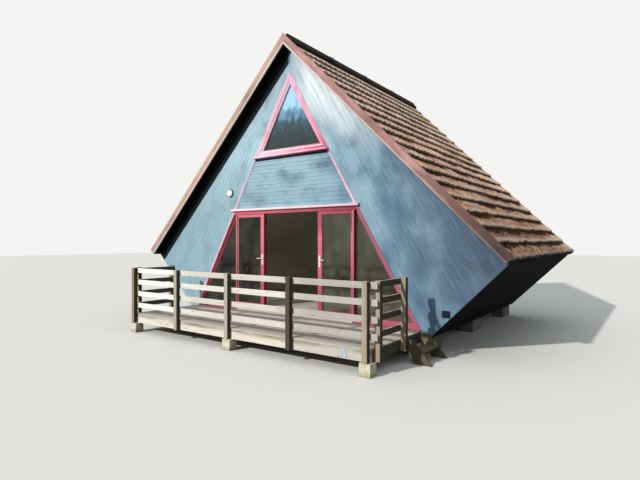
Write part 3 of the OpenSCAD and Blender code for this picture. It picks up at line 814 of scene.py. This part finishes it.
def clad(boards, plane, region, along, width, gap, thick, ease=0.002, start=None, longest=None):
    """Covers a convex region of a plane with parallel boards, in lengths that butt at random."""
    least_strip = 0.0004
    least_board = 0.0002
    butt_gap = 0.001
    along = along.normalized()
    across = Vector((-along.y, along.x))
    if area(region) < 0:
        region = region[::-1]
    low = min(p.dot(across) for p in region)
    high = max(p.dot(across) for p in region)
    edge = low if start is None else start + math.floor((low - start) / width) * width
    while edge < high:
        strip = clip(clip(region, across, edge + width - gap / 2), -across, -(edge + gap / 2))
        edge += width
        if not strip or abs(area(strip)) < least_strip:
            continue
        near = min(p.dot(along) for p in strip)
        far = max(p.dot(along) for p in strip)
        cuts = [near]
        while longest and far - cuts[-1] > longest:
            cuts.append(cuts[-1] + longest * boards.draw.uniform(0.45, 1.0))
        cuts.append(far)
        for first, second in zip(cuts, cuts[1:]):
            part = clip(strip, -along, -(first + (0 if first == near else butt_gap)))
            part = clip(part, along, second) if part else []
            if part and abs(area(part)) > least_board:
                board_solid(boards, plane, part, along, thick, ease)


def eased(node, name, finish, slot, along, ease, seed):
    """Stands for a CAD node with the same solids, their edges eased and the grain laid along them."""
    same_point = 0.00002
    real_edge = 0.4
    whole = bmesh.new()
    whole.from_mesh(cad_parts[node].data)
    bmesh.ops.remove_doubles(whole, verts=whole.verts, dist=same_point)
    bmesh.ops.dissolve_limit(whole, angle_limit=math.radians(1), verts=whole.verts, edges=whole.edges)
    corners = [e for e in whole.edges if len(e.link_faces) == 2 and e.calc_face_angle(0) > real_edge]
    bmesh.ops.bevel(
        whole, geom=corners, offset=ease, offset_type="OFFSET", segments=1, profile=0.5,
        affect="EDGES", clamp_overlap=True,
    )
    whole.verts.ensure_lookup_table()
    run = Vector(along).normalized()
    side = Vector((0, 1, 0)) if abs(run.y) < 0.9 else Vector((1, 0, 0))
    across = side.cross(run).normalized()
    if across.z < -0.01:
        across = -across
    seen, boards = set(), Boards(seed)
    for first in whole.verts:
        if first.index in seen:
            continue
        group, edge = [], [first]
        seen.add(first.index)
        while edge:
            vert = edge.pop()
            group.append(vert)
            for link in vert.link_edges:
                other = link.other_vert(vert)
                if other.index not in seen:
                    seen.add(other.index)
                    edge.append(other)
        order = {v.index: i for i, v in enumerate(group)}
        faces = sorted({f for v in group for f in v.link_faces}, key=lambda f: f.index)
        boards.solid(
            [v.co.copy() for v in group], [[order[v.index] for v in f.verts] for f in faces], run, across,
        )
    whole.free()
    boards.piece(name, finish, slot, nodes=(node,))


def screw_heads(boards, places, radius=0.0045, rise=0.0012):
    """Low round heads, each given by its centre and the way it faces."""
    turns = 10
    crown = 0.7
    for centre, out in places:
        side = out.orthogonal().normalized()
        other = out.cross(side)
        angles = [i * math.tau / turns for i in range(turns)]
        ring = [side * math.cos(a) + other * math.sin(a) for a in angles]
        points = [centre + r * radius for r in ring]
        points += [centre + r * radius * crown + out * rise for r in ring]
        faces = [[i, (i + 1) % turns, turns + (i + 1) % turns, turns + i] for i in range(turns)]
        faces.append(list(range(turns, 2 * turns)))
        boards.solid(points, faces, side, other)


def red_half(z):
    """Half the width between the sloping red lines at a height."""
    return (TRIANGLE_TOP - z) / RED_SLOPE


def shell_half(z):
    """Half the width between the outer faces of the side walls at a height below the eaves."""
    return EAVE_HALF - (EAVE_Z - z)


def wing_outline(side):
    """A gable's wing: down the eave and the side wall, along the foot and back up the red line."""
    return [
        Vector((0.0, APEX_Z - EDGE_ROOM)), Vector((side * (EAVE_HALF - EDGE_ROOM), EAVE_Z)),
        Vector((side * (shell_half(WALL_FOOT) - EDGE_ROOM), WALL_FOOT)),
        Vector((side * red_half(WALL_FOOT), WALL_FOOT)), Vector((0.0, TRIANGLE_TOP)),
    ]


def middle_outline(low):
    """The gable between the red lines, from a height up to the foot of its window."""
    return [
        Vector((-red_half(low), low)), Vector((red_half(low), low)),
        Vector((red_half(WINDOW_FOOT), WINDOW_FOOT)), Vector((-red_half(WINDOW_FOOT), WINDOW_FOOT)),
    ]


def clad_wing(boards, plane, side, gap, ease):
    """Boards on a wing, parallel to its red line and counted from it."""
    along = Vector((-side, RED_SLOPE))
    start = Vector((0.0, TRIANGLE_TOP)).dot(Vector((-along.y, along.x)).normalized())
    clad(boards, plane, wing_outline(side), along, CLADDING_W, gap, CLADDING_T, ease, start)


def wall_boards():
    """Narrow boards on the wings parallel to the red lines, and level ones between them."""
    # Paint nearly fills the joints of the right wing
    for side, name, gap in ((-1, "left", CLADDING_GAP), (1, "right", PAINTED_GAP)):
        boards = Boards(11 + side)
        clad_wing(boards, upright(WALL_FACE), side, gap, gap * 0.7)
        boards.piece("wing_boards_" + name, "blue", "wall_paint")
    boards = Boards(14)
    clad(
        boards, upright(WALL_FACE), middle_outline(LEDGE_TOP), LEVEL, MIDDLE_W, CLADDING_GAP,
        CLADDING_T, CLADDING_EASE,
    )
    boards.piece("middle_wall_boards", "level_blue", "wall_paint")


def rear_wall_boards():
    """The gable behind repeats the front's boards around its window."""
    boards = Boards(21)
    for side in (-1, 1):
        clad_wing(boards, upright(REAR_FACE, -1), side, CLADDING_GAP, CLADDING_EASE)
    boards.piece("rear_wing_boards", "blue", "wall_paint")
    boards = Boards(24)
    clad(
        boards, upright(REAR_FACE, -1), middle_outline(WALL_FOOT), LEVEL, MIDDLE_W, CLADDING_GAP,
        CLADDING_T, CLADDING_EASE, longest=REAR_BOARD_LENGTH,
    )
    boards.piece("rear_middle_boards", "level_blue", "wall_paint")


def side_wall_boards():
    """Black boards along the leaning side walls, kept back from the gables' boards."""
    kept_back, ease = 0.02, 0.003
    ends = (WALL_FACE + kept_back, REAR_FACE - kept_back)
    region = rectangle(0, 0, ends[1] - ends[0], (EAVE_Z - WALL_FOOT) / SLANT)
    foot = Vector((shell_half(WALL_FOOT), WALL_FOOT))
    for side, name in SIDES:
        boards = Boards(31 + side)
        clad(
            boards, lengthwise(side, foot, ends, Vector((SLANT, SLANT))), region, LEVEL, SIDE_BOARD_W,
            SIDE_BOARD_GAP, SIDE_BOARD_T, ease, longest=BOARD_LENGTH,
        )
        boards.piece("side_wall_boards_" + name, "black", "side_wall_stain")


def room_lining():
    """Cream matchboard on the slopes, side walls and gables of the room."""
    lean = SIDE_WALL / SLANT
    corner = Vector((EAVE_HALF - lean / 2, EAVE_Z + lean / 2))
    floor_half = shell_half(FLOOR_Z) - lean
    ends = (WALL_FACE + END_WALL, REAR_FACE - END_WALL)
    boards = Boards(41)
    for side in (-1, 1):
        for foot, height, up in (
            (Vector((floor_half, FLOOR_Z)), (corner.y - FLOOR_Z) / SLANT, Vector((SLANT, SLANT))),
            (corner, corner.x / SLANT, Vector((-SLANT, SLANT))),
        ):
            clad(
                boards, lengthwise(side, foot, ends, up, inside=True),
                rectangle(0, 0, ends[1] - ends[0], height), LEVEL, LINING_W, LINING_GAP, LINING_T,
                longest=BOARD_LENGTH,
            )
    section = [
        Vector((-floor_half, FLOOR_Z)), Vector((floor_half, FLOOR_Z)), corner,
        Vector((0, APEX_Z)), Vector((-corner.x, corner.y)),
    ]
    out = Vector((RED_SLOPE, 1.0)).normalized()
    limit = Vector((0.0, TRIANGLE_TOP)).dot(out)
    for plane, low in ((upright(ends[0], -1), LEDGE_TOP), (upright(ends[1]), FLOOR_Z)):
        regions = [clip(section, Vector((-side * out.x, -out.y)), -limit) for side in (-1, 1)]
        for region in (*regions, middle_outline(low)):
            clad(boards, plane, region, LEVEL, LINING_W, LINING_GAP, LINING_T)
    boards.piece("room_lining_boards", "lining", "floor_board")


def roof_tiles(side, name):
    """Courses of waved tiles with thick noses, each tile slipped a little by itself."""
    node = "roof_tiles_" + name
    front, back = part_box(node)[0].y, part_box(node)[1].y
    run = (EAVE_HALF + PANEL * SLANT) / SLANT
    gauge = run / TILE_COURSES
    steps = 8
    columns = int(round((back - front) / TILE_WAVE)) * steps
    sag_spans = 14
    bed, nose_rise, wave_at_nose, wave_loss = 0.002, 0.034, 0.020, 0.009
    # How far the points near a nose wander in height and along the slope, as on rough concrete
    rough, ragged = 0.0022, 0.003
    # Each row of a tile: its distance up the slope from the nose, and how far the nose's bow drops it
    rows = ((0.0, 0.0), (0.0, 0.007), (0.008, 0.0), (0.060, 0.0), (0.180, 0.0), (gauge + 0.03, 0.0))
    draw = random.Random(50 + side)
    points, faces, place, drawn = [], [], [], []
    for course in range(TILE_COURSES):
        # The courses sag more towards the eave, and then each tile slips and lifts by itself
        settling = 0.007 + 0.011 * (1 - course / TILE_COURSES)
        sags = [draw.uniform(-settling, settling) for _ in range(sag_spans + 1)]
        slips = [
            (draw.uniform(-0.010, 0.014), draw.uniform(-0.002, 0.005), draw.random())
            for _ in range(columns // steps + 2)
        ]
        start = len(points)
        for column in range(columns + 1):
            y = front + (back - front) * column / columns
            wave = (0.5 + 0.5 * math.cos(math.tau * column / steps)) ** 0.8
            slip, lift, shade = slips[(column + steps // 2) // steps]
            sag = sag_spans * column / (columns + 1)
            first = int(sag)
            slip += sags[first] + (sags[first + 1] - sags[first]) * (sag - first)
            for row, (up, bow) in enumerate(rows):
                way_up = min(up / gauge, 1.0)
                height = bed + (nose_rise + lift) * (1 - way_up) + (wave_at_nose - wave_loss * way_up) * wave
                height -= bow
                if row == 0:
                    height = 0.001
                if row in (1, 2, 3):
                    height += draw.uniform(-rough, rough)
                shift = slip + draw.uniform(-ragged, ragged) if row < 4 else 0.0
                reach = max(0.0, course * gauge + up + shift)
                if course == TILE_COURSES - 1:
                    reach = min(reach, run)
                x = EAVE_HALF + PANEL * SLANT + (height - reach) * SLANT
                z = EAVE_Z + PANEL * SLANT + (height + reach) * SLANT
                points.append((side * max(x, 0.0), y, z))
                place.append((y - front, up, height))
                drawn.append((shade, slips[0][2], slips[1][2]))
        count = len(rows)
        for column in range(columns):
            a = start + column * count
            for row in range(count - 1):
                quad = [a + row, a + row + 1, a + count + row + 1, a + count + row]
                faces.append(quad if side < 0 else quad[::-1])
    mesh = board_mesh(node + "_waved", points, faces, place, drawn)
    mesh.polygons.foreach_set("use_smooth", [True] * len(mesh.polygons))
    # The lower edge of each nose stays sharp
    for edge in mesh.edges:
        low, high = sorted(edge.vertices)
        edge.use_edge_sharp = high - low == count and low % count == 1
    settled(mesh, node + "_waved", "tile", nodes=(node,))


def under_tiles():
    """A felted batten board under each slope's tiles, so that no gap shows through."""
    boards = Boards(61)
    width, gap, thick, ease, below_ridge = 1.0, 0.001, 0.0015, 0.0005, 0.004
    foot = Vector((EAVE_HALF + PANEL * SLANT, EAVE_Z + PANEL * SLANT))
    region = rectangle(0, 0, ROOF_BACK - ROOF_FRONT, foot.x / SLANT - below_ridge)
    for side in (-1, 1):
        plane = lengthwise(side, foot, (ROOF_FRONT, ROOF_BACK), Vector((-SLANT, SLANT)))
        clad(boards, plane, region, LEVEL, width, gap, thick, ease)
    boards.piece("roof_underlay", "black_sheet", "soffit_stain")


def ridge_laps():
    """Lapped lengths of the ridge cap, with a screw on each side of every lap."""
    low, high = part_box("ridge_cap")
    boards, heads = Boards(71), Boards(72)
    pitch, lap_w, proud = 1.55, 0.06, 1.004
    fold, skirt, screw_drop, shortest = 0.058, 0.150, 0.10, 0.4
    half = (high.x - low.x) / 2
    outline = [
        (half, high.z - skirt), (half, high.z - fold), (0.0, high.z),
        (-half, high.z - fold), (-half, high.z - skirt),
    ]
    place = low.y + pitch
    while place < high.y - shortest:
        points = [Vector((x * proud, place + step, z)) for step in (0, lap_w) for x, z in outline]
        faces = [[i, i + 1, i + 6, i + 5] for i in range(4)]
        boards.solid(points, faces, Vector((0, 1, 0)), Vector((1, 0, 0)))
        for side in (-1, 1):
            centre = Vector((side * half * proud, place + lap_w / 2, high.z - screw_drop))
            screw_heads(heads, [(centre, Vector((side, 0, 0)))], 0.008, 0.004)
        place += pitch
    boards.piece("ridge_cap_laps", "ridge", "ridge_metal")
    heads.piece("ridge_cap_screws", "screw", "ridge_metal")


def deck_screws():
    """Two screws where each deck board crosses a joist, and those that hold the rails."""
    sunk, near_edge, far_edge, rail_spread = 0.0003, 0.025, 0.030, 0.022
    low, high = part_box("deck_boards")
    pitch = (high.y - low.y + DECK_GAP) / DECK_BOARDS
    joist_low, joist_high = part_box("deck_frame")
    step = (joist_high.x - joist_low.x - JOIST_W) / (JOISTS - 1)
    places = []
    for row in range(DECK_BOARDS):
        for joist in range(JOISTS):
            x = joist_low.x + JOIST_W / 2 + joist * step
            for offset in (near_edge, pitch - far_edge):
                y = low.y + row * pitch + offset
                places.append((Vector((x, y, high.z - sunk)), Vector((0, 0, 1))))
    rail_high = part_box("front_rails")[1]
    for rail in range(RAILS):
        z = rail_high.z - RAIL_H / 2 - rail * RAIL_PITCH
        for post in range(POSTS):
            x = (post - POSTS // 2) * POST_PITCH
            for lift in (-rail_spread, rail_spread):
                places.append((Vector((x, rail_high.y - sunk, z + lift)), Vector((0, 1, 0))))
    boards = Boards(81)
    screw_heads(boards, places, 0.0050)
    boards.piece("deck_screws", "screw", "handle_coating")


def glazing_beads():
    """Thin bars around each door pane, in front of the glass."""
    bead, depth, ease, bedded = 0.014, 0.009, 0.003, 0.0005
    open_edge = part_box("door_left_glass")[1].x
    for body, node in (
        ("leaf_left", "door_left_glass"), ("leaf_right", "door_right_glass"), ("cabin", "fixed_glass"),
    ):
        boards = Boards(91)
        low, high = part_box(node)
        spans = [(low.x, high.x)]
        if body == "cabin":
            spans = [(low.x, open_edge), (-open_edge, high.x)]
        for left, right in spans:
            outer = rectangle(left, low.z, right, high.z)
            inner = rectangle(left + bead, low.z + bead, right - bead, high.z - bead)
            for i in (0, 2, 3, 1):
                j = (i + 1) % 4
                bar = [outer[i], outer[j], inner[j], inner[i]]
                board_solid(boards, upright(low.y - bedded), bar, LEVEL, depth, ease)
        boards.piece(node.replace("_glass", "_beads"), "leaf_red", "door_paint", body)


def window_splays():
    """A splayed bead round each gable window, from the frame's step down to its sash."""
    step, splay = 0.0755, 0.028
    # How far each ring of the bead lies inside the frame's outline and behind its face
    rings = ((step, 0.0004), (step + splay, 0.0218), (step, 0.0224))
    for node, towards in (("window_frame", 1), ("rear_window_frame", -1)):
        low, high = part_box(node)
        face = low.y if towards > 0 else high.y
        points = []
        for inset_by, depth in rings:
            foot = WINDOW_FOOT + inset_by
            reach = red_half(foot) - inset_by / RED_SIN
            corners = ((-reach, foot), (reach, foot), (0, foot + reach * RED_SLOPE))
            points += [Vector((x, face + towards * depth, z)) for x, z in corners]
        faces = []
        for ring in range(3):
            following = (ring + 1) % 3
            for i in range(3):
                j = (i + 1) % 3
                faces.append([ring * 3 + i, ring * 3 + j, following * 3 + j, following * 3 + i])
        if towards < 0:
            faces = [face[::-1] for face in faces]
        boards = Boards(97)
        boards.solid(points, faces, Vector((1, 0, 0)), Vector((0, 0, 1)))
        boards.piece(node.replace("_frame", "_splay"), "bead_red", "red_paint")


def lamp_dome():
    """The round wall lamp: a thin base ring and a milky dome, both turned."""
    low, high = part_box("wall_lamp")
    centre = (low + high) / 2
    radius = (high.z - low.z) / 2
    depth = high.y - low.y
    turns, dome_steps = 48, 9
    # Shares of the radius and of the depth from the wall: the base ring, and then the dome on it
    dome, base = 0.93, 0.25
    profile = [(dome, 0.0), (1.0, 0.02), (1.0, 0.20), (0.97, 0.24), (dome, base)]
    for i in range(1, dome_steps):
        rise = math.pi / 2 * i / dome_steps
        profile.append((dome * math.cos(rise), base + (1 - base) * math.sin(rise)))
    points = []
    for wide, out in profile:
        for i in range(turns):
            turn = math.tau * i / turns
            x = centre.x + radius * wide * math.cos(turn)
            z = centre.z + radius * wide * math.sin(turn)
            points.append((x, high.y - depth * out, z))
    points.append((centre.x, low.y, centre.z))
    faces = []
    for ring in range(len(profile) - 1):
        near, far = ring * turns, (ring + 1) * turns
        for i in range(turns):
            j = (i + 1) % turns
            faces.append([near + i, near + j, far + j, far + i])
    last = (len(profile) - 1) * turns
    faces += [[last + i, last + (i + 1) % turns, len(points) - 1] for i in range(turns)]
    faces.append(list(range(turns))[::-1])
    mesh = bpy.data.meshes.new("wall_lamp_dome")
    mesh.from_pydata(points, [], faces)
    mesh.polygons.foreach_set("use_smooth", [len(f) < 5 for f in faces])
    settled(mesh, "wall_lamp_dome", "lamp", nodes=("wall_lamp",))


def vent_flange():
    """A thin flange round the vent hood, flat on the boards."""
    margin, thick, ease = 0.008, 0.004, 0.001
    low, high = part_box("vent_hood")
    outline = rectangle(low.x - margin, low.z - margin, high.x + margin, high.z + margin)
    boards = Boards(95)
    board_solid(boards, upright(high.y - CLADDING_T), outline, LEVEL, thick, ease)
    boards.piece("vent_flange", "vent", "vent_plastic")


def fascia_plate():
    """A small plain cover plate screwed to the deck fascia near its right end."""
    half_w, half_h, thick, ease, proud = 0.058, 0.066, 0.006, 0.002, 0.0003
    low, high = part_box("deck_fascia")
    x, z = 2.50, min(0.315, high.z - 0.075)
    outline = rectangle(x - half_w, z - half_h, x + half_w, z + half_h)
    boards = Boards(98)
    board_solid(boards, upright(low.y - proud), outline, LEVEL, thick, ease)
    boards.piece("deck_fascia_plate", "plate", "lamp_plastic")


def place_cad_finishes():
    """Gives the CAD nodes that stay their finishes."""
    table = {
        "black_sheet": "side_wall_left side_wall_right roof_panel_left roof_panel_right",
        "tongues": "front_wall_left front_wall_right front_wall_middle rear_wall",
        "window_pane": "window_glass rear_window_glass",
        "pane": "side_light_glass fixed_glass door_left_glass door_right_glass",
        "faded_red": "window_frame rear_window_frame window_sill",
        "pale_red": "red_strips",
        "ledge_red": "ledge",
        "jamb_left_red": "door_jamb_left",
        "jamb_right_red": "door_jamb_right side_light_rails",
        "head_red": "door_head",
        "post_red": "door_posts",
        "frame_red": "fixed_frames",
        "leaf_red": "door_left door_right",
        "handle": "door_left_handle door_right_handle",
        "threshold": "threshold",
        "floor": "floor",
        "block": "foundation_piers",
        "pier": "deck_piers",
        "ridge": "ridge_cap",
        "vent": "vent_hood",
    }
    for finish, nodes in table.items():
        for node in nodes.split():
            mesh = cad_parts[node].data
            if not mesh.materials:
                mesh.materials.append(None)
            for index in range(len(mesh.materials)):
                mesh.materials[index] = finishes[finish]


def eased_timbers():
    """The barge boards and the deck's timbers, with eased edges and grain along them."""
    for where in ("front", "rear"):
        for side, name in SIDES:
            node = f"barge_{where}_{name}"
            eased(node, node + "_board", "barge", "barge_paint", (-side, 0, 1), 0.003, 101 + side)
    # Each node, the piece that stands for it, its finish, the way it runs and how far it is eased
    timbers = (
        ("deck_boards", "deck_planks", "plank", (1, 0, 0), 0.003),
        ("deck_frame", "deck_joists", "post", (0, 1, 0), 0.002),
        ("deck_fascia", "deck_fascia_boards", "fascia", (1, 0, 0), 0.003),
        ("deck_posts", "rail_posts", "post", (0, 0, 1), 0.005),
        ("front_rails", "front_rail_boards", "rail", (1, 0, 0), 0.004),
        ("side_rails", "side_rail_boards", "rail", (0, 1, 0), 0.004),
        ("step_stringers", "step_stringer_boards", "step", (1, 0, -0.8), 0.003),
        ("step_treads", "step_tread_boards", "step", (0, 1, 0), 0.003),
    )
    for seed, (node, name, finish, along, ease) in enumerate(timbers, 111):
        eased(node, name, finish, "deck_timber", along, ease, seed)


def seen_plainly(tree):
    """Is 1 where the camera sees a surface straight, through glass or in a mirror."""
    rays = [add(tree, "LightPath", out=f"Is {kind} Ray") for kind in ("Camera", "Transmission", "Glossy")]
    straight = add(tree, "Math", rays[:2], operation="MAXIMUM")
    return add(tree, "Math", (straight, rays[2]), operation="MAXIMUM")


def view_camera():
    """The photograph's viewpoint."""
    lens = bpy.data.cameras.new("view_camera")
    lens.sensor_fit = "HORIZONTAL"
    lens.sensor_width = 36.0
    lens.lens = 26.54
    lens.clip_end = 500.0
    camera = linked("view_camera", lens)
    camera.location = (6.414, -9.965, 2.010)
    camera.rotation_euler = (math.radians(90), 0, math.radians(35.854))
    bpy.context.scene.camera = camera


def sun_from_front():
    """A slightly warm key light from the front left, with nearly sharp shadows."""
    key = bpy.data.lights.new("key_light", "SUN")
    key.energy = 3.1
    key.angle = math.radians(1.6)
    key.color = (1.0, 0.97, 0.93)
    to_sun = Vector((-0.212, -0.847, 0.491))
    linked("key_light", key).rotation_euler = to_sun.to_track_quat("Z", "Y").to_euler()


def studio_world():
    """Soft light that is brighter from above, behind a plain white background."""
    studio = bpy.data.worlds.new("studio")
    studio.use_nodes = True
    tree = studio.node_tree
    tree.nodes.clear()
    above = add(tree, "SeparateXYZ", [add(tree, "TexCoord", out="Generated")], out="Z")
    soft = add(tree, "Background", ("#e6edf2", share(tree, (above, -0.1, 1.0, 0.16, 0.95))))
    white = add(tree, "Background", ("#f4f4f2", 1.0))
    add(tree, "OutputWorld", [add(tree, "MixShader", (seen_plainly(tree), soft, white))])
    bpy.context.scene.world = studio


def studio_floor():
    """A plain pale floor that throws less light at the cabin than it shows."""
    half = 60
    mesh = bpy.data.meshes.new("studio_floor")
    corners = [(-half, -half, 0), (half, -half, 0), (half, half, 0), (-half, half, 0)]
    mesh.from_pydata(corners, [], [[0, 1, 2, 3]])
    finish, tree = new_finish("studio_floor")
    dim = add(tree, "BsdfDiffuse", {"Color": "#77756f"})
    pale = add(tree, "BsdfDiffuse", {"Color": "#dedcd8"})
    add(tree, "OutputMaterial", [add(tree, "MixShader", (seen_plainly(tree), dim, pale))])
    mesh.materials.append(finish)
    ground = linked("studio_floor", mesh)


place_cad_finishes()
wall_boards()
rear_wall_boards()
side_wall_boards()
room_lining()
under_tiles()
for side, name in SIDES:
    roof_tiles(side, name)
ridge_laps()
eased_timbers()
deck_screws()
glazing_beads()
window_splays()
lamp_dome()
vent_flange()
fascia_plate()

view_camera()
sun_from_front()
studio_world()
studio_floor()
bpy.context.scene.view_settings.view_transform = "Standard"
